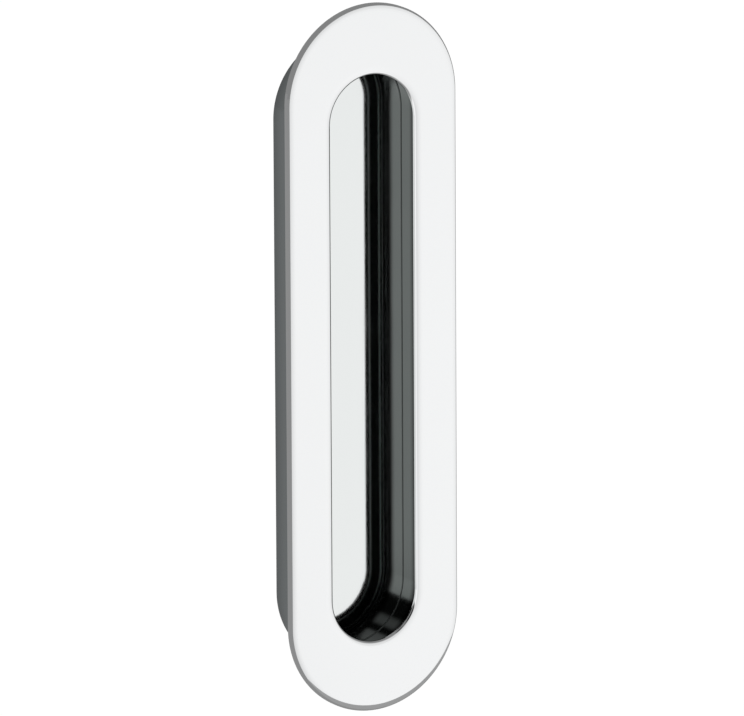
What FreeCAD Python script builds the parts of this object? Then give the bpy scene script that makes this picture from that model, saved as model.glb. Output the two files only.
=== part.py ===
import FreeCAD, Part
import math
import os

# Flush pull for a sliding door that disappears into the wall.
# Two pieces of chromed metal: an obround face plate that lies on the door's face, and an
# obround cup behind it that sinks into the door's mortise. The plate's opening is narrower
# than the cup, so its edge is a lip that the fingertips hook behind.
# Millimetres. +Z is up along the pull, +Y goes into the door, and the origin is the centre
# of the plate's back, the plane that lies on the door's face.

# Face plate, with the buffed roll-off of its front towards the outer edge
plate_length = 150.0
plate_width = 40.0
plate_thickness = 1.6
rim_roll_width = 1.4
rim_roll_depth = 0.25

# Opening: the plate's width beside it and beyond its ends, and the roll-off into it
side_margin = 10.05
end_margin = 14.8
mouth_roll_width = 1.8
mouth_roll_depth = 0.25

# Seat in the plate's back that takes the cup's rim
seat_depth = 0.75
seat_clearance = 0.05

# Cup: the lip's reach over the pocket, the wall and floor round it, and its depth in the door
lip_overhang = 3.05
cup_wall = 3.5
cup_floor = 2.25
cup_depth = 11.6
cup_back_radius = 1.0
pocket_corner_radius = 0.2

# Planes, from the hand into the door
door_face = 0.0
plate_front = door_face - plate_thickness
seat_face = door_face - seat_depth
cup_back = door_face + cup_depth
pocket_floor = cup_back - cup_floor

# Outlines that follow from the sizes above, each from the one it fits
opening_length = plate_length - 2 * end_margin
opening_width = plate_width - 2 * side_margin
pocket_length = opening_length + 2 * lip_overhang
pocket_width = opening_width + 2 * lip_overhang
cup_length = pocket_length + 2 * cup_wall
cup_width = pocket_width + 2 * cup_wall
seat_length = cup_length + 2 * seat_clearance
seat_width = cup_width + 2 * seat_clearance


def point(x, y):
    """A point of a cross-section, across the pull and into the door."""
    return FreeCAD.Vector(x, y, 0)


def line(start, end):
    """Straight edge between two section points."""
    return Part.LineSegment(start, end).toShape()


def quarter_round(centre, radius, first_angle):
    """Quarter of a circle that turns 90 degrees from first_angle, measured from +X to +Y."""
    circle = Part.Circle(centre, FreeCAD.Vector(0, 0, 1), radius)
    start = math.radians(first_angle)
    return Part.ArcOfCircle(circle, start, start + math.pi / 2).toShape()


def quarter_ellipse(centre, across, deep, first_angle):
    """Quarter of an ellipse, wider than deep, that turns 90 degrees from first_angle."""
    ellipse = Part.Ellipse(centre + point(across, 0), centre + point(0, deep), centre)
    start = math.radians(first_angle)
    return Part.ArcOfEllipse(ellipse, start, start + math.pi / 2).toShape()


def obround(length, reach, half_section):
    """Solid of a half cross-section that is reach wide: run straight, and turned at both ends."""
    half_face = Part.Face(Part.Wire(half_section))
    straight = length / 2 - reach
    along = FreeCAD.Vector(0, 0, 2 * straight)
    foot = half_face.translated(FreeCAD.Vector(0, 0, -straight))
    head = half_face.translated(FreeCAD.Vector(0, 0, straight))
    right = foot.extrude(along)
    left = right.mirror(FreeCAD.Vector(0, 0, 0), FreeCAD.Vector(1, 0, 0))
    top = head.revolve(FreeCAD.Vector(0, 0, straight), FreeCAD.Vector(0, -1, 0), 180)
    bottom = foot.revolve(FreeCAD.Vector(0, 0, -straight), FreeCAD.Vector(0, 1, 0), 180)
    return right.fuse([left, top, bottom]).removeSplitter()


def face_plate():
    """Thin plate whose front rolls off at the rim and into the opening, with the cup's seat."""
    rim = plate_width / 2
    roll_start = rim - rim_roll_width
    roll_end = plate_front + rim_roll_depth
    blank = obround(plate_length, rim, [
        line(point(0, plate_front), point(roll_start, plate_front)),
        quarter_ellipse(point(roll_start, roll_end), rim_roll_width, rim_roll_depth, -90),
        line(point(rim, roll_end), point(rim, door_face)),
        line(point(rim, door_face), point(0, door_face)),
        line(point(0, door_face), point(0, plate_front)),
    ])
    lip = opening_width / 2
    flare = lip + mouth_roll_width
    flare_end = plate_front + mouth_roll_depth
    mouth = obround(opening_length + 2 * mouth_roll_width, flare, [
        line(point(0, plate_front), point(flare, plate_front)),
        quarter_ellipse(point(flare, flare_end), mouth_roll_width, mouth_roll_depth, 180),
        line(point(lip, flare_end), point(lip, door_face)),
        line(point(lip, door_face), point(0, door_face)),
        line(point(0, door_face), point(0, plate_front)),
    ])
    seat_reach = seat_width / 2
    seat = obround(seat_length, seat_reach, [
        line(point(0, seat_face), point(seat_reach, seat_face)),
        line(point(seat_reach, seat_face), point(seat_reach, door_face)),
        line(point(seat_reach, door_face), point(0, door_face)),
        line(point(0, door_face), point(0, seat_face)),
    ])
    return blank.cut([mouth, seat])


def cup():
    """Open-fronted cup with plumb walls, a flat floor and a rounded back edge."""
    outside = cup_width / 2
    rounding = outside - cup_back_radius
    rounding_start = cup_back - cup_back_radius
    body = obround(cup_length, outside, [
        line(point(0, seat_face), point(outside, seat_face)),
        line(point(outside, seat_face), point(outside, rounding_start)),
        quarter_round(point(rounding, rounding_start), cup_back_radius, 0),
        line(point(rounding, cup_back), point(0, cup_back)),
        line(point(0, cup_back), point(0, seat_face)),
    ])
    inside = pocket_width / 2
    corner = inside - pocket_corner_radius
    corner_start = pocket_floor - pocket_corner_radius
    pocket = obround(pocket_length, inside, [
        line(point(0, seat_face), point(inside, seat_face)),
        line(point(inside, seat_face), point(inside, corner_start)),
        quarter_round(point(corner, corner_start), pocket_corner_radius, 0),
        line(point(corner, pocket_floor), point(0, pocket_floor)),
        line(point(0, pocket_floor), point(0, seat_face)),
    ])
    return body.cut(pocket)


def write_step(name, shape):
    """Write one piece as parts/NAME.step."""
    shape.exportStep(os.path.join("parts", name + ".step"))


os.makedirs("parts", exist_ok=True)
write_step("face_plate", face_plate())
write_step("cup", cup())
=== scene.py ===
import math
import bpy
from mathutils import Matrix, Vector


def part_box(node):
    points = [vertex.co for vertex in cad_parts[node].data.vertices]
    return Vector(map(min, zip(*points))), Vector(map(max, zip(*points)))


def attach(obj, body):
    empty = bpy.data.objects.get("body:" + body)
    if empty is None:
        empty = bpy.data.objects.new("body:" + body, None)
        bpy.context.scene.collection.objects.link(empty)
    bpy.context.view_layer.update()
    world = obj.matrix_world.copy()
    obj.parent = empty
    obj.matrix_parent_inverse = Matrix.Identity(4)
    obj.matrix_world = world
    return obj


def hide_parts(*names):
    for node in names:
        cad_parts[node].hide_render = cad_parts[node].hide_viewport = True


bl_info = {
    "name": "Pocket Door Pull",
    "version": (1, 0, 0),
    "blender": (4, 5, 0),
    "location": "View3D > Sidebar > Door Pull",
    "description": "Chrome flush pull for a pocket door: a rolled-edge face plate over an undercut cup",
    "category": "Object",
}

import bmesh
import bpy
from bpy.props import FloatProperty, FloatVectorProperty, IntProperty, PointerProperty
from bpy.types import Operator, Panel, PropertyGroup
from mathutils import Matrix, Vector

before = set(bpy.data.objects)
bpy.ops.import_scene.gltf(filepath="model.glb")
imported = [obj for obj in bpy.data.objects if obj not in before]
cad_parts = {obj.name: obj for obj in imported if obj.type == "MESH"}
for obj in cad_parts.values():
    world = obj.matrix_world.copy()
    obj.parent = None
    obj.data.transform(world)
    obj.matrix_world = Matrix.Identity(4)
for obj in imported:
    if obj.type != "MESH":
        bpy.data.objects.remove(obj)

MILLIMETRE = 0.001
PLATE_LOW, PLATE_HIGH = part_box("face_plate")
CUP_LOW, CUP_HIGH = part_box("cup")

# The photograph's frame, and where the centre of the plate's front lies in it, in its pixels
PHOTO_WIDTH = 744
PHOTO_HEIGHT = 716
FRONT_CENTRE_X = 374.0
FRONT_CENTRE_Y = 359.71
SENSOR_WIDTH = 36.0

# Points this near are the same point, and points this near an outline's reach lie on it
SAME_PLACE = 1e-7
SAME_REACH = 2e-6

# A face whose middle comes this near a surface belongs to it
SAME_SURFACE = 1e-5

# Faces across each deburred edge and across the rounding at the foot of the pocket's wall
EDGE_STEPS = 3
CORNER_STEPS = 6


class PlateSizes(PropertyGroup):
    """Sizes of the face plate."""

    rim_roll_width: FloatProperty(
        name="Rim roll width", description="How far in from the outer edge the front falls away",
        default=1.6 * MILLIMETRE, unit="LENGTH")
    rim_slope: FloatProperty(
        name="Rim slope", description="How steep buffing left the front beside the outer edge",
        default=math.radians(9.8), subtype="ANGLE")
    rim_bevel_width: FloatProperty(
        name="Rim bevel width", description="Width of the bevel round the outer edge",
        default=0.4 * MILLIMETRE, unit="LENGTH")
    rim_bevel_depth: FloatProperty(
        name="Rim bevel depth", description="Depth of the bevel round the outer edge",
        default=0.48 * MILLIMETRE, unit="LENGTH")
    opening_length: FloatProperty(
        name="Opening length", description="Height of the opening between its lips",
        default=120.4 * MILLIMETRE, unit="LENGTH")
    opening_width: FloatProperty(
        name="Opening width", description="Width of the opening between its lips",
        default=19.9 * MILLIMETRE, unit="LENGTH")
    mouth_roll_width: FloatProperty(
        name="Mouth roll width", description="How far from the opening its roll-off begins",
        default=1.8 * MILLIMETRE, unit="LENGTH")
    mouth_slope: FloatProperty(
        name="Mouth slope", description="How steep buffing left the front beside the opening",
        default=math.radians(13), subtype="ANGLE")
    mouth_bevel_width: FloatProperty(
        name="Mouth bevel width", description="Width of the bevel round the opening",
        default=0.25 * MILLIMETRE, unit="LENGTH")
    mouth_bevel_depth: FloatProperty(
        name="Mouth bevel depth", description="Depth of the bevel round the opening",
        default=0.245 * MILLIMETRE, unit="LENGTH")
    edge_break: FloatProperty(
        name="Edge break", description="Radius of the deburred back edges",
        default=0.12 * MILLIMETRE, unit="LENGTH")
    seat_clearance: FloatProperty(
        name="Seat clearance", description="Gap round the cup in the plate's seat",
        default=0.05 * MILLIMETRE, unit="LENGTH")


class CupSizes(PropertyGroup):
    """Sizes of the cup."""

    wall: FloatProperty(
        name="Wall", description="Thickness of the cup's side wall",
        default=3.5 * MILLIMETRE, unit="LENGTH")
    floor: FloatProperty(
        name="Floor", description="Thickness of the cup's floor",
        default=2.25 * MILLIMETRE, unit="LENGTH")
    back_radius: FloatProperty(
        name="Back radius", description="Rounding of the cup's back edge",
        default=1.0 * MILLIMETRE, unit="LENGTH")
    corner_radius: FloatProperty(
        name="Corner radius", description="Rounding between the pocket's wall and its floor",
        default=0.2 * MILLIMETRE, unit="LENGTH")
    edge_break: FloatProperty(
        name="Edge break", description="Radius of the deburred rim edges",
        default=0.1 * MILLIMETRE, unit="LENGTH")


class FinishSettings(PropertyGroup):
    """Fineness of the meshes and colours of the metal."""

    end_steps: IntProperty(
        name="End steps", description="Faces round each half-round end", default=96, min=16)
    round_steps: IntProperty(
        name="Round steps", description="Faces across each roll-off and the cup's back edge",
        default=10, min=2)
    plate_colour: FloatVectorProperty(
        name="Plate colour", description="Mirror chrome of the face plate", subtype="COLOR",
        default=(0.85, 0.858, 0.862), min=0.0, max=1.0)
    floor_colour: FloatVectorProperty(
        name="Pocket floor colour", description="Mirror chrome of the pocket's floor",
        subtype="COLOR", default=(0.78, 0.8, 0.795), min=0.0, max=1.0)
    wall_colour: FloatVectorProperty(
        name="Cup wall colour", description="Duller chrome outside the cup and on the plate's back",
        subtype="COLOR", default=(0.42, 0.45, 0.455), min=0.0, max=1.0)
    # Near the lip, the pocket wall's material darkens this colour with a painted shadow of the lip
    pocket_colour: FloatVectorProperty(
        name="Pocket wall colour", description="Dark, thin plating on the pocket's walls",
        subtype="COLOR", default=(0.132, 0.144, 0.14), min=0.0, max=1.0)
    # Under the lip and in the seat: dark unbuffed plating, darkened further as painted shade
    back_colour: FloatVectorProperty(
        name="Unbuffed colour", description="Dark unbuffed plating under the lip and in the seat",
        subtype="COLOR", default=(0.03, 0.032, 0.032), min=0.0, max=1.0)


class StageSettings(PropertyGroup):
    """Camera and studio."""

    azimuth: FloatProperty(
        name="Azimuth", description="How far to the left of the pull the camera stands",
        subtype="ANGLE", default=math.radians(29.79))
    elevation: FloatProperty(
        name="Elevation", description="How far above the pull the camera stands",
        subtype="ANGLE", default=math.radians(13.26))
    roll: FloatProperty(
        name="Roll", description="Turn of the camera about its line of sight",
        subtype="ANGLE", default=math.radians(-0.288))
    distance: FloatProperty(
        name="Distance", description="From the camera to the plate's front", unit="LENGTH",
        default=2.5)
    pixels_per_metre: FloatProperty(
        name="Pixels per metre", description="Scale of the picture at the plate's front",
        default=4838.0)
    floor_drop: FloatProperty(
        name="Floor drop", description="How far the floor lies below the pull's middle",
        unit="LENGTH", default=0.12)


# Section drawing. A section is a list of stations, (reach, depth) points from the pull's middle
# line outwards and into the door. Obround outlines are drawn as their upper half, then mirrored.

def add_quarter(stations, end, flat_first, steps):
    """Add a quarter turn from the last station to end, which sets off flat or into the depth."""
    reach, depth = stations[-1]
    for i in range(1, steps + 1):
        turn = math.pi / 2 * i / steps
        early, late = math.sin(turn), 1 - math.cos(turn)
        across, deep = (early, late) if flat_first else (late, early)
        stations.append((reach + (end[0] - reach) * across, depth + (end[1] - depth) * deep))


def buffed_edge(edge, front, width, slope, bevel_width, bevel_depth, side, steps):
    """Stations across the front to an edge: a slow fall up to slope, then a narrow bevel.

    The edge lies at reach edge, and side is 1 where the plate ends there and -1 at a mouth.
    """
    radius = (width - bevel_width) / math.sin(slope)
    start = edge - side * width
    stations = [(start, front)]
    for i in range(1, steps + 1):
        turn = slope * i / steps
        fall = radius * (1 - math.cos(turn))
        stations.append((start + side * radius * math.sin(turn), front + fall))
    stations.append((edge, stations[-1][1] + bevel_depth))
    return stations


def new_object(name):
    """An empty mesh object at the origin, in edit mode, with nothing else selected."""
    bpy.ops.object.select_all(action="DESELECT")
    bpy.ops.mesh.primitive_plane_add(location=(0, 0, 0))
    piece = bpy.context.object
    piece.name = name
    piece.data.name = name
    bpy.ops.object.mode_set(mode="EDIT")
    bpy.ops.mesh.select_all(action="SELECT")
    bpy.ops.mesh.delete(type="VERT")
    return piece


def select_only(piece, wanted):
    """Select just the vertices that wanted() accepts, with the edges between them."""
    mesh = bmesh.from_edit_mesh(piece.data)
    mesh.verts.index_update()
    mesh.select_mode = {"VERT"}
    for vertex in mesh.verts:
        vertex.select = wanted(vertex)
    mesh.select_flush_mode()
    bmesh.update_edit_mesh(piece.data)


def selected(piece):
    """Numbers of the selected vertices of the piece being edited."""
    mesh = bmesh.from_edit_mesh(piece.data)
    mesh.verts.index_update()
    return {vertex.index for vertex in mesh.verts if vertex.select}


def from_spine(place, end_height):
    """A place's distance from the middle line between the centres of the two round ends."""
    return math.hypot(place.x, max(abs(place.z) - end_height, 0.0))


def on_outline(vertex, station, end_height):
    """Whether the vertex lies on the obround outline at this station."""
    reach, depth = station
    if abs(vertex.co.y - depth) > SAME_PLACE:
        return False
    return abs(from_spine(vertex.co, end_height) - reach) < SAME_REACH


def half_outline(piece, station, end_height, steps):
    """Draw and select the upper half of an obround outline: a half circle on two legs."""
    reach, depth = station
    bpy.ops.mesh.select_all(action="DESELECT")
    bpy.ops.mesh.primitive_circle_add(
        vertices=2 * steps, radius=reach, fill_type="NOTHING",
        location=(0, depth, end_height), rotation=(math.pi / 2, 0, 0))
    ring = selected(piece)
    select_only(piece, lambda v: v.index in ring and v.co.z < end_height - SAME_PLACE)
    bpy.ops.mesh.delete(type="VERT")
    select_only(piece, lambda v: abs(v.co.z - end_height) < SAME_PLACE
                and abs(abs(v.co.x) - reach) < SAME_PLACE and abs(v.co.y - depth) < SAME_PLACE)
    bpy.ops.mesh.extrude_vertices_move(
        TRANSFORM_OT_translate={"value": (0, 0, -end_height)})
    select_only(piece, lambda v: on_outline(v, station, end_height))


def sweep_section(piece, stations, end_height, steps):
    """Draw a half outline at the first station and carry it through the others."""
    half_outline(piece, stations[0], end_height, steps)
    reach, depth = stations[0]
    for next_reach, next_depth in stations[1:]:
        bpy.ops.mesh.extrude_edges_move(
            TRANSFORM_OT_translate={"value": (0, next_depth - depth, 0)})
        loop = selected(piece)
        share = next_reach / reach
        select_only(piece, lambda v: v.index in loop and v.co.z > SAME_PLACE)
        bpy.ops.transform.resize(value=(share, 1, share), center_override=(0, 0, end_height))
        select_only(piece, lambda v: v.index in loop and v.co.z <= SAME_PLACE)
        bpy.ops.transform.resize(value=(share, 1, 1), center_override=(0, 0, 0))
        select_only(piece, lambda v: v.index in loop)
        reach, depth = next_reach, next_depth


def bridge_outlines(piece, outer, outer_end, inner, inner_end):
    """Fill the flat between two half outlines, each given by its station and end height."""
    select_only(piece, lambda v: on_outline(v, outer, outer_end)
                or on_outline(v, inner, inner_end))
    bpy.ops.mesh.bridge_edge_loops()


def mirror_down(piece):
    """Add the lower half of the piece as the mirror of its upper half."""
    bpy.ops.object.mode_set(mode="OBJECT")
    bpy.ops.object.modifier_add(type="MIRROR")
    mirror = piece.modifiers[-1]
    mirror.use_axis = (False, False, True)
    mirror.merge_threshold = 1e-6
    bpy.ops.object.modifier_apply(modifier=mirror.name)
    bpy.ops.object.mode_set(mode="EDIT")


def cap_outline(piece, station, end_height):
    """Close the obround outline at this station with one face."""
    select_only(piece, lambda v: on_outline(v, station, end_height))
    bpy.ops.mesh.edge_face_add()


def shade_piece(piece):
    """Point the faces out and shade them smooth, except across sharp edges."""
    bpy.ops.mesh.select_all(action="SELECT")
    bpy.ops.mesh.normals_make_consistent(inside=False)
    bpy.ops.mesh.select_all(action="DESELECT")
    bpy.ops.object.mode_set(mode="OBJECT")
    bpy.ops.object.shade_smooth_by_angle(angle=math.radians(35))
    bpy.ops.object.modifier_add(type="WEIGHTED_NORMAL")
    weighted = piece.modifiers[-1]
    weighted.keep_sharp = True
    weighted.weight = 80
    bpy.ops.object.modifier_apply(modifier=weighted.name)


def assign_faces(piece, material, wanted):
    """Give the faces that wanted() accepts a material of their own."""
    bpy.ops.object.material_slot_add()
    piece.material_slots[-1].material = material
    piece.active_material_index = len(piece.material_slots) - 1
    bpy.ops.object.mode_set(mode="EDIT")
    mesh = bmesh.from_edit_mesh(piece.data)
    mesh.select_mode = {"FACE"}
    for face in mesh.faces:
        face.select_set(wanted(face))
    bmesh.update_edit_mesh(piece.data)
    bpy.ops.object.material_slot_assign()
    bpy.ops.mesh.select_all(action="DESELECT")
    bpy.ops.object.mode_set(mode="OBJECT")


# Node building

def add_node(tree, kind, values):
    """New node of this kind with these values on its inputs."""
    node = tree.nodes.new(kind)
    for name, value in values.items():
        node.inputs[name].default_value = value
    return node


def math_node(tree, operation, first, second):
    """Output of a Math node whose inputs are sockets or numbers."""
    node = tree.nodes.new("ShaderNodeMath")
    node.operation = operation
    for socket, value in zip(node.inputs, (first, second)):
        if isinstance(value, (int, float)):
            socket.default_value = value
        else:
            tree.links.new(value, socket)
    return node.outputs["Value"]


def product(tree, first, *others):
    """Socket with the product of sockets and numbers."""
    for other in others:
        first = math_node(tree, "MULTIPLY", first, other)
    return first


def vector_node(tree, operation, socket, fixed=None):
    """Outputs of a Vector Math node of a socket and, if it takes one, a fixed vector."""
    node = tree.nodes.new("ShaderNodeVectorMath")
    node.operation = operation
    tree.links.new(socket, node.inputs[0])
    if fixed is not None:
        node.inputs[1].default_value = fixed
    return node.outputs


def map_range(tree, value, from_min, from_max, to_min, to_max):
    """Output of a smooth Map Range node."""
    node = add_node(tree, "ShaderNodeMapRange", {
        "From Min": from_min, "From Max": from_max, "To Min": to_min, "To Max": to_max})
    node.interpolation_type = "SMOOTHSTEP"
    tree.links.new(value, node.inputs["Value"])
    return node.outputs["Result"]


def object_axes(tree):
    """Sockets with a point's X, Y and Z in the pull's own frame."""
    place = tree.nodes.new("ShaderNodeTexCoord")
    axes = tree.nodes.new("ShaderNodeSeparateXYZ")
    tree.links.new(place.outputs["Object"], axes.inputs["Vector"])
    return axes.outputs


# Metal

# Squeeze of the grain's pattern that draws its hairlines out along the pull
GRAIN_SQUEEZE = (1.0, 1.0, 0.06)

# Share of a painted highlight line's half width over which it is full
LINE_CORE = 0.3

# Painted highlight line under the lip: its reach beyond the lip's edge, and how many times brighter it
# is
LIP_LINE_REACH = 1.02 * MILLIMETRE
LIP_LINE_HALF_WIDTH = 0.32 * MILLIMETRE
LIP_HIGHLIGHT_TINT = 31.0

# Painted shade outside the cup, darker towards its back: how far from its back it begins, and its share
# of the colour
BACK_SHADE_DEPTH = 5 * MILLIMETRE
BACK_SHADE = 0.72

# Painted shadow of the lip on the pocket's wall, in depth from the cup's rim: full down to one, gone
# from the other, and the share of the colour left in it
LIP_SHADOW_TO = 4.75 * MILLIMETRE
LIP_SHADOW_GONE_FROM = 7.1 * MILLIMETRE
LIP_SHADOW_SHARE = 0.05

# Two lines round the pocket's wall, in depth from the cup's rim. They are painted highlights that add
# to the colour, they add to the roughness too, and they fade round the ends.
FIRST_LINE_DEPTH = 0.7 * MILLIMETRE
FIRST_LINE_HALF_WIDTH = 0.5 * MILLIMETRE
SECOND_LINE_DEPTH = 2.05 * MILLIMETRE
SECOND_LINE_HALF_WIDTH = 0.25 * MILLIMETRE
SECOND_LINE_STRENGTH = 0.5
HIGHLIGHT_TINT = 7.0
LINE_ROUGHNESS = 0.85
LINE_FADE_HEIGHT = 10 * MILLIMETRE
LINE_AT_ENDS = 0.35


def distance_from_spine(tree, end_height):
    """Socket with a point's distance from the middle line between the two round ends."""
    axes = object_axes(tree)
    beyond = math_node(tree, "ABSOLUTE", axes["Z"], 0.0)
    beyond = math_node(tree, "SUBTRACT", beyond, end_height)
    beyond = math_node(tree, "MAXIMUM", beyond, 0.0)
    across = product(tree, axes["X"], axes["X"])
    beyond = product(tree, beyond, beyond)
    return math_node(tree, "SQRT", math_node(tree, "ADD", across, beyond), 0.0)


def painted_highlight_line(tree, position, centre, half_width):
    """1 on a painted highlight line at this position, and 0 away from it."""
    away = math_node(tree, "SUBTRACT", position, centre)
    away = math_node(tree, "ABSOLUTE", away, 0.0)
    return map_range(tree, away, LINE_CORE * half_width, half_width, 1.0, 0.0)


def tint_metal(material, factor):
    """Multiply the metal's colour by a socket."""
    tree = material.node_tree
    shader = tree.nodes["Principled BSDF"]
    colour = shader.inputs["Base Color"].links[0].from_socket
    tint = tree.nodes.new("ShaderNodeVectorMath")
    tint.operation = "SCALE"
    tree.links.new(colour, tint.inputs[0])
    tree.links.new(factor, tint.inputs["Scale"])
    tree.links.new(tint.outputs["Vector"], shader.inputs["Base Color"])


def roughen_metal(material, extra):
    """Add a socket to the metal's roughness."""
    tree = material.node_tree
    shader = tree.nodes["Principled BSDF"]
    polish = shader.inputs["Roughness"].links[0].from_socket
    tree.links.new(math_node(tree, "ADD", polish, extra), shader.inputs["Roughness"])


def plated_metal(name, colour, roughness, roughness_spread, ripple, grain):
    """Plated metal with uneven polish, a faint ripple and a finer grain along the pull."""
    material = bpy.data.materials.new(name)
    material.use_nodes = True
    tree = material.node_tree
    links = tree.links
    shader = tree.nodes["Principled BSDF"]
    shader.inputs["Metallic"].default_value = 1.0

    place = tree.nodes.new("ShaderNodeTexCoord")
    along = add_node(tree, "ShaderNodeMapping", {"Scale": GRAIN_SQUEEZE})
    links.new(place.outputs["Object"], along.inputs["Vector"])
    cloud = add_node(tree, "ShaderNodeTexNoise", {"Scale": 90.0, "Detail": 3.0})
    links.new(place.outputs["Object"], cloud.inputs["Vector"])
    hairlines = add_node(tree, "ShaderNodeTexNoise", {"Scale": 5200.0, "Detail": 2.0})
    links.new(along.outputs["Vector"], hairlines.inputs["Vector"])

    tint = add_node(tree, "ShaderNodeMapRange", {"To Min": 0.985, "To Max": 1.0})
    links.new(cloud.outputs["Fac"], tint.inputs["Value"])
    shade = tree.nodes.new("ShaderNodeMix")
    shade.data_type = "RGBA"
    shade.blend_type = "MULTIPLY"
    shade.inputs["Factor"].default_value = 1.0
    shade.inputs["A"].default_value = (*colour, 1.0)
    links.new(tint.outputs["Result"], shade.inputs["B"])
    links.new(shade.outputs["Result"], shader.inputs["Base Color"])

    polish = add_node(tree, "ShaderNodeMapRange", {
        "From Min": 0.3, "From Max": 0.7,
        "To Min": max(roughness - roughness_spread, 0.0),
        "To Max": roughness + roughness_spread})
    links.new(cloud.outputs["Fac"], polish.inputs["Value"])
    links.new(polish.outputs["Result"], shader.inputs["Roughness"])

    waves = add_node(tree, "ShaderNodeBump", {"Strength": ripple, "Distance": 0.02 * MILLIMETRE})
    links.new(cloud.outputs["Fac"], waves.inputs["Height"])
    brushing = add_node(tree, "ShaderNodeBump", {"Strength": grain, "Distance": 0.004 * MILLIMETRE})
    links.new(hairlines.outputs["Fac"], brushing.inputs["Height"])
    links.new(waves.outputs["Normal"], brushing.inputs["Normal"])
    links.new(brushing.outputs["Normal"], shader.inputs["Normal"])
    return material


def satin_metal(name, finish):
    """The duller plating of surfaces that the door hides."""
    return plated_metal(name, finish.wall_colour, roughness=0.2, roughness_spread=0.03,
                        ripple=0.6, grain=0.6)


def under_lip_metal(finish, lip, end_height):
    """Unbuffed plating darkened further with painted shade, and a painted highlight line round the
    underside of the lip.
    """
    metal = plated_metal("unbuffed_plating_and_painted_shade", finish.back_colour, roughness=0.42,
                         roughness_spread=0.06, ripple=1.0, grain=1.0)
    tree = metal.node_tree
    reach = distance_from_spine(tree, end_height)
    # Painted highlight line round the lip's underside
    line = painted_highlight_line(tree, reach, lip + LIP_LINE_REACH, LIP_LINE_HALF_WIDTH)
    tint_metal(metal, map_range(tree, line, 0.0, 1.0, 1.0, LIP_HIGHLIGHT_TINT))
    return metal


def outer_wall_metal(finish, back):
    """Satin plating outside the cup, with painted shade that darkens it towards its back edge."""
    metal = satin_metal("satin_plating", finish)
    tree = metal.node_tree
    depth = object_axes(tree)["Y"]
    # Painted shade, darker towards the cup's back edge
    tint_metal(metal, map_range(tree, depth, back - BACK_SHADE_DEPTH, back, 1.0, BACK_SHADE))
    return metal


def pocket_wall_metal(finish, rim, end_height):
    """Dark plating with a painted shadow of the lip near the rim, and painted highlight lines round the
    wall that also roughen it.
    """
    metal = plated_metal("pocket_wall_plating", finish.pocket_colour, roughness=0.14,
                         roughness_spread=0.03, ripple=0.4, grain=0.4)
    tree = metal.node_tree
    axes = object_axes(tree)
    depth = axes["Y"]
    height = math_node(tree, "ABSOLUTE", axes["Z"], 0.0)
    # Painted shadow of the lip, over the wall near the rim
    lip_shaded = map_range(tree, depth, rim + LIP_SHADOW_TO, rim + LIP_SHADOW_GONE_FROM, LIP_SHADOW_SHARE, 1.0)
    # Painted highlight lines round the wall, which also make it rougher
    first = painted_highlight_line(tree, depth, rim + FIRST_LINE_DEPTH, FIRST_LINE_HALF_WIDTH)
    second = painted_highlight_line(tree, depth, rim + SECOND_LINE_DEPTH, SECOND_LINE_HALF_WIDTH)
    line = math_node(tree, "ADD", first, product(tree, second, SECOND_LINE_STRENGTH))
    line = product(tree, line, map_range(
        tree, height, end_height, end_height + LINE_FADE_HEIGHT, 1.0, LINE_AT_ENDS))
    tint_metal(metal, math_node(tree, "ADD", lip_shaded, product(tree, line, HIGHLIGHT_TINT)))
    roughen_metal(metal, product(tree, line, LINE_ROUGHNESS))
    return metal


class DOORPULL_OT_face_plate(Operator):
    """Build the face plate with its rolled rim and mouth"""

    bl_idname = "door_pull.face_plate"
    bl_label = "Face Plate"

    def execute(self, context):
        sizes = context.scene.door_pull_plate
        finish = context.scene.door_pull_finish
        front, back = PLATE_LOW.y, PLATE_HIGH.y
        seat = CUP_LOW.y
        rim = PLATE_HIGH.x
        rim_end = PLATE_HIGH.z - rim
        lip = sizes.opening_width / 2
        mouth_end = sizes.opening_length / 2 - lip
        seat_wall = CUP_HIGH.x + sizes.seat_clearance
        edge = sizes.edge_break

        plate = new_object("face_plate_polished")
        outside = buffed_edge(
            rim, front, sizes.rim_roll_width, sizes.rim_slope,
            sizes.rim_bevel_width, sizes.rim_bevel_depth, 1, finish.round_steps)
        outside.append((rim, back - edge))
        add_quarter(outside, (rim - edge, back), False, EDGE_STEPS)
        sweep_section(plate, outside, rim_end, finish.end_steps)

        inside = buffed_edge(
            lip, front, sizes.mouth_roll_width, sizes.mouth_slope,
            sizes.mouth_bevel_width, sizes.mouth_bevel_depth, -1, finish.round_steps)
        inside.append((lip, seat - edge))
        add_quarter(inside, (lip + edge, seat), False, EDGE_STEPS)
        inside += [(seat_wall, seat), (seat_wall, back)]
        sweep_section(plate, inside, mouth_end, finish.end_steps)

        bridge_outlines(plate, outside[0], rim_end, inside[0], mouth_end)
        bridge_outlines(plate, outside[-1], rim_end, inside[-1], mouth_end)
        mirror_down(plate)
        shade_piece(plate)

        chrome = plated_metal("mirror_chrome", finish.plate_colour, roughness=0.045,
                              roughness_spread=0.012, ripple=0.25, grain=0.1)
        unbuffed_and_shaded = under_lip_metal(finish, lip, mouth_end)
        satin = satin_metal("satin_back", finish)
        assign_faces(plate, chrome, lambda f: True)
        assign_faces(plate, satin, lambda f: f.normal.y > 0.5)
        # Under the lip and in the seat: unbuffed plating with painted shade and a painted highlight
        # line
        assign_faces(plate, unbuffed_and_shaded, lambda f: self.in_seat(f, seat - edge / 2, seat_wall, mouth_end))
        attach(plate, "root")
        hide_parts("face_plate")
        return {"FINISHED"}

    @staticmethod
    def in_seat(face, underside, seat_wall, end_height):
        """Whether the face lies on the lip's underside or the wall of the cup's seat."""
        middle = face.calc_center_median()
        return middle.y > underside and from_spine(middle, end_height) < seat_wall + SAME_SURFACE


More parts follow.
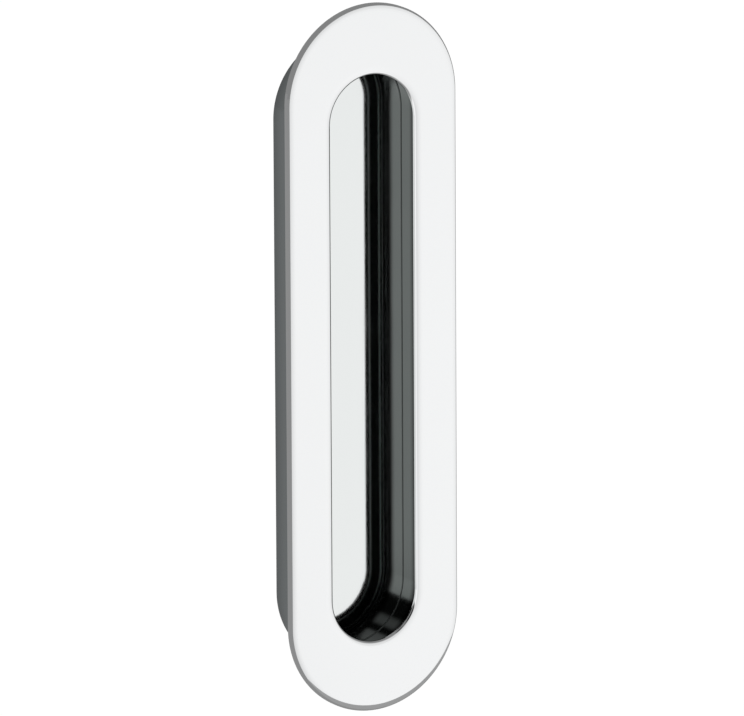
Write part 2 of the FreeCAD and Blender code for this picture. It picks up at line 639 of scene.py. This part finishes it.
class DOORPULL_OT_cup(Operator):
    """Build the cup with its mirror floor and duller walls"""

    bl_idname = "door_pull.cup"
    bl_label = "Cup"

    def execute(self, context):
        sizes = context.scene.door_pull_cup
        finish = context.scene.door_pull_finish
        rim, back = CUP_LOW.y, CUP_HIGH.y
        outside = CUP_HIGH.x
        end_height = CUP_HIGH.z - outside
        inside = outside - sizes.wall
        floor = back - sizes.floor
        edge = sizes.edge_break
        corner = sizes.corner_radius

        cup = new_object("cup_plated")
        section = [(outside - sizes.back_radius, back)]
        add_quarter(section, (outside, back - sizes.back_radius), True, finish.round_steps)
        section.append((outside, rim + edge))
        add_quarter(section, (outside - edge, rim), False, EDGE_STEPS)
        section.append((inside + edge, rim))
        add_quarter(section, (inside, rim + edge), True, EDGE_STEPS)
        section.append((inside, floor - corner))
        add_quarter(section, (inside - corner, floor), False, CORNER_STEPS)
        sweep_section(cup, section, end_height, finish.end_steps)
        mirror_down(cup)
        cap_outline(cup, section[0], end_height)
        cap_outline(cup, section[-1], end_height)
        shade_piece(cup)

        satin = outer_wall_metal(finish, back)
        dark = pocket_wall_metal(finish, rim, end_height)
        mirror = plated_metal("mirror_floor", finish.floor_colour, roughness=0.07,
                              roughness_spread=0.015, ripple=0.25, grain=0.1)
        assign_faces(cup, satin, lambda f: True)
        assign_faces(cup, dark, lambda f: self.in_pocket(f, inside, end_height, rim, floor))
        assign_faces(cup, mirror, lambda f: f.normal.y < -0.9
                     and abs(f.calc_center_median().y - floor) < SAME_SURFACE)
        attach(cup, "root")
        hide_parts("cup")
        return {"FINISHED"}

    @staticmethod
    def in_pocket(face, inside, end_height, rim, floor):
        """Whether the face lies in the pocket, on its wall or its floor."""
        middle = face.calc_center_median()
        return (from_spine(middle, end_height) < inside + SAME_SURFACE
                and rim + SAME_SURFACE < middle.y < floor + SAME_SURFACE)


# Studio light, as the metal sees it

# Grey of the studio, and how much brighter its white panel and table are
GREY_LEVEL = 0.26
WHITE_EXTRA = 0.76

# The white panel: degrees to the right of the pull's front, and degrees from there to its ends
PANEL_AZIMUTH = 33
PANEL_REACH = 46

# Places in the studio: degrees to the right of the pull's front and above level, then the
# degrees from there at which the thing ends and at which it is full
TABLE = (-28, 0, 36, 10)
DARK_ROOM = (-28, 24, 29, 25)
ROOM_FRONT = (0, 0, 44, 38)
LAMP = (-16, 29, 8, 1)
DARK_EDGE = (100, 0, 18, 13)

# Heights between which things fade, as the sine of the angle above level
PANEL_TOP = (-0.2, 0.7)
TABLE_TOP = (0.09, 0.11)
TABLE_FRONT = (-0.55, -0.38)
DARK_EDGE_TOP = (-0.1, 0.15)

# How much of the light the dark room and the dark edge take away
ROOM_DARKNESS = 0.98
EDGE_DARKNESS = 0.95

# The floor: its half width, its paint, how bright the camera sees it, the most that metal sees
# of it far from the pull and close to it, and the Y where the one turns into the other
FLOOR_REACH = 3.0
FLOOR_PAINT = (0.15, 0.15, 0.15, 1.0)
FLOOR_GLOW = 0.98
FAR_LIMIT = 1.2
# Close to the pull, metal sees this floor darker: a painted shadow of the pull
NEAR_LIMIT = 0.34
NEAR_BEGINS = (-0.12, -0.112)


def towards(azimuth, elevation):
    """Unit vector at this many degrees to the right of the pull's front and above it."""
    side, up = math.radians(azimuth), math.radians(elevation)
    return math.sin(side) * math.cos(up), -math.cos(side) * math.cos(up), math.sin(up)


def facing(tree, direction, azimuth, elevation, edge, full):
    """How nearly a direction faces a point: 0 beyond edge degrees from it, 1 within full."""
    nearness = vector_node(tree, "DOT_PRODUCT", direction, towards(azimuth, elevation))["Value"]
    return map_range(tree, nearness,
                     math.cos(math.radians(edge)), math.cos(math.radians(full)), 0.0, 1.0)


def studio_level(tree, direction):
    """Brightness of the studio in a direction.

    A white panel stands to the right and fades upwards, the white table runs towards the left,
    and the rest is grey. The room above the table is dark but for one lamp, and a narrow dark
    edge stands low at the far right.
    """
    axes = tree.nodes.new("ShaderNodeSeparateXYZ")
    tree.links.new(direction, axes.inputs["Vector"])
    height = axes.outputs["Z"]
    sideways = vector_node(tree, "MULTIPLY", direction, (1.0, 1.0, 0.0))["Vector"]
    side = vector_node(tree, "NORMALIZE", sideways)["Vector"]

    to_panel = vector_node(tree, "DOT_PRODUCT", side, towards(PANEL_AZIMUTH, 0))["Value"]
    panel = add_node(tree, "ShaderNodeMapRange", {
        "From Min": math.cos(math.radians(PANEL_REACH))})
    tree.links.new(to_panel, panel.inputs["Value"])
    panel = product(tree, panel.outputs["Result"], map_range(tree, height, *PANEL_TOP, 1.0, 0.0))
    table = product(tree, facing(tree, side, *TABLE),
                    map_range(tree, height, *TABLE_TOP, 1.0, 0.0),
                    map_range(tree, height, *TABLE_FRONT, 0.0, 1.0))
    white = math_node(tree, "MAXIMUM", panel, table)
    level = math_node(tree, "ADD", product(tree, white, WHITE_EXTRA), GREY_LEVEL)

    beside_lamp = math_node(tree, "SUBTRACT", 1.0, facing(tree, direction, *LAMP))
    dark_room = product(tree, facing(tree, direction, *DARK_ROOM),
                        map_range(tree, height, *TABLE_TOP, 0.0, ROOM_DARKNESS),
                        facing(tree, direction, *ROOM_FRONT), beside_lamp)
    dark_edge = product(tree, facing(tree, side, *DARK_EDGE),
                        map_range(tree, height, *DARK_EDGE_TOP, EDGE_DARKNESS, 0.0))
    dark = math_node(tree, "MAXIMUM", dark_room, dark_edge)
    return product(tree, level, math_node(tree, "SUBTRACT", 1.0, dark))


class DOORPULL_OT_stage(Operator):
    """Set up the camera, the pale floor and the studio round the pull"""

    bl_idname = "door_pull.stage"
    bl_label = "Stage"

    def execute(self, context):
        stage = context.scene.door_pull_stage
        self.camera(context, stage)
        self.floor(stage)
        self.studio(context)
        context.scene.view_settings.view_transform = "Standard"
        return {"FINISHED"}

    @staticmethod
    def camera(context, stage):
        """Camera at the photograph's angle, with the plate's front centre at its own pixel."""
        ahead = Vector((math.sin(stage.azimuth) * math.cos(stage.elevation),
                        math.cos(stage.azimuth) * math.cos(stage.elevation),
                        -math.sin(stage.elevation)))
        level = ahead.cross(Vector((0, 0, 1))).normalized()
        upright = level.cross(ahead)
        right = level * math.cos(stage.roll) + upright * math.sin(stage.roll)
        up = upright * math.cos(stage.roll) - level * math.sin(stage.roll)
        front_centre = Vector((0, PLATE_LOW.y, 0))
        aside = (FRONT_CENTRE_X - PHOTO_WIDTH / 2) / stage.pixels_per_metre
        below = (FRONT_CENTRE_Y - PHOTO_HEIGHT / 2) / stage.pixels_per_metre
        place = front_centre - ahead * stage.distance - right * aside + up * below

        data = bpy.data.cameras.new("camera")
        data.sensor_width = SENSOR_WIDTH
        data.lens = SENSOR_WIDTH * stage.pixels_per_metre * stage.distance / PHOTO_WIDTH
        data.clip_start = 0.1
        data.clip_end = 50.0
        camera = bpy.data.objects.new("camera", data)
        context.scene.collection.objects.link(camera)
        turn = Matrix((right, up, -ahead)).transposed().to_4x4()
        camera.matrix_world = Matrix.Translation(place) @ turn
        context.scene.camera = camera

    @staticmethod
    def floor(stage):
        """White floor below the pull, in which metal sees the studio, with a painted shadow of the pull
        close to it.
        """
        bpy.ops.object.select_all(action="DESELECT")
        bpy.ops.mesh.primitive_plane_add(size=2 * FLOOR_REACH, location=(0, 0, -stage.floor_drop))
        floor = bpy.context.object
        floor.name = "floor"
        bpy.ops.object.transform_apply(location=True, rotation=True, scale=True)
        material = bpy.data.materials.new("pale_floor")
        material.use_nodes = True
        tree = material.node_tree
        tree.nodes.clear()
        output = tree.nodes.new("ShaderNodeOutputMaterial")
        paint = add_node(tree, "ShaderNodeBsdfDiffuse", {"Color": FLOOR_PAINT})
        place = tree.nodes.new("ShaderNodeTexCoord")
        direction = vector_node(tree, "NORMALIZE", place.outputs["Object"])["Vector"]
        # Painted shadow of the pull: close to it, metal sees the floor darker
        limit = map_range(tree, object_axes(tree)["Y"], *NEAR_BEGINS, FAR_LIMIT, NEAR_LIMIT)
        level = math_node(tree, "MINIMUM", studio_level(tree, direction), limit)
        rays = tree.nodes.new("ShaderNodeLightPath")
        in_metal = math_node(tree, "ADD", rays.outputs["Is Glossy Ray"],
                             rays.outputs["Is Transmission Ray"])
        seen = product(tree, rays.outputs["Is Camera Ray"], FLOOR_GLOW)
        glow = tree.nodes.new("ShaderNodeEmission")
        strength = math_node(tree, "ADD", seen, product(tree, level, in_metal))
        tree.links.new(strength, glow.inputs["Strength"])
        both = tree.nodes.new("ShaderNodeAddShader")
        tree.links.new(paint.outputs["BSDF"], both.inputs[0])
        tree.links.new(glow.outputs["Emission"], both.inputs[1])
        tree.links.new(both.outputs["Shader"], output.inputs["Surface"])
        floor.data.materials.append(material)

    @staticmethod
    def studio(context):
        """World with the studio that metal sees, and white wherever the camera looks."""
        world = bpy.data.worlds.new("studio")
        context.scene.world = world
        world.use_nodes = True
        tree = world.node_tree
        tree.nodes.clear()
        output = tree.nodes.new("ShaderNodeOutputWorld")
        place = tree.nodes.new("ShaderNodeTexCoord")
        level = studio_level(tree, place.outputs["Generated"])
        rays = tree.nodes.new("ShaderNodeLightPath")
        strength = math_node(tree, "MAXIMUM", level, rays.outputs["Is Camera Ray"])
        background = add_node(tree, "ShaderNodeBackground", {"Color": (1.0, 1.0, 1.0, 1.0)})
        tree.links.new(strength, background.inputs["Strength"])
        tree.links.new(background.outputs["Background"], output.inputs["Surface"])


class DOORPULL_PT_panel(Panel):
    """Lists the pieces, their sizes and the stage"""

    bl_label = "Pocket Door Pull"
    bl_idname = "DOORPULL_PT_panel"
    bl_space_type = "VIEW_3D"
    bl_region_type = "UI"
    bl_category = "Door Pull"

    def draw(self, context):
        layout = self.layout
        for name in SETTINGS:
            settings = getattr(context.scene, name)
            box = layout.box()
            for size in settings.__annotations__:
                box.prop(settings, size)
        for operator in OPERATORS:
            layout.operator(operator.bl_idname)


SETTINGS = {
    "door_pull_plate": PlateSizes,
    "door_pull_cup": CupSizes,
    "door_pull_finish": FinishSettings,
    "door_pull_stage": StageSettings,
}
OPERATORS = (DOORPULL_OT_face_plate, DOORPULL_OT_cup, DOORPULL_OT_stage)


def register():
    for name, group in SETTINGS.items():
        bpy.utils.register_class(group)
        setattr(bpy.types.Scene, name, PointerProperty(type=group))
    for cls in (*OPERATORS, DOORPULL_PT_panel):
        bpy.utils.register_class(cls)


def unregister():
    for cls in reversed((*OPERATORS, DOORPULL_PT_panel)):
        bpy.utils.unregister_class(cls)
    for name, group in SETTINGS.items():
        delattr(bpy.types.Scene, name)
        bpy.utils.unregister_class(group)


def main():
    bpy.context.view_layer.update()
    register()
    bpy.ops.door_pull.face_plate()
    bpy.ops.door_pull.cup()
    bpy.ops.door_pull.stage()


if __name__ == "__main__":
    main()
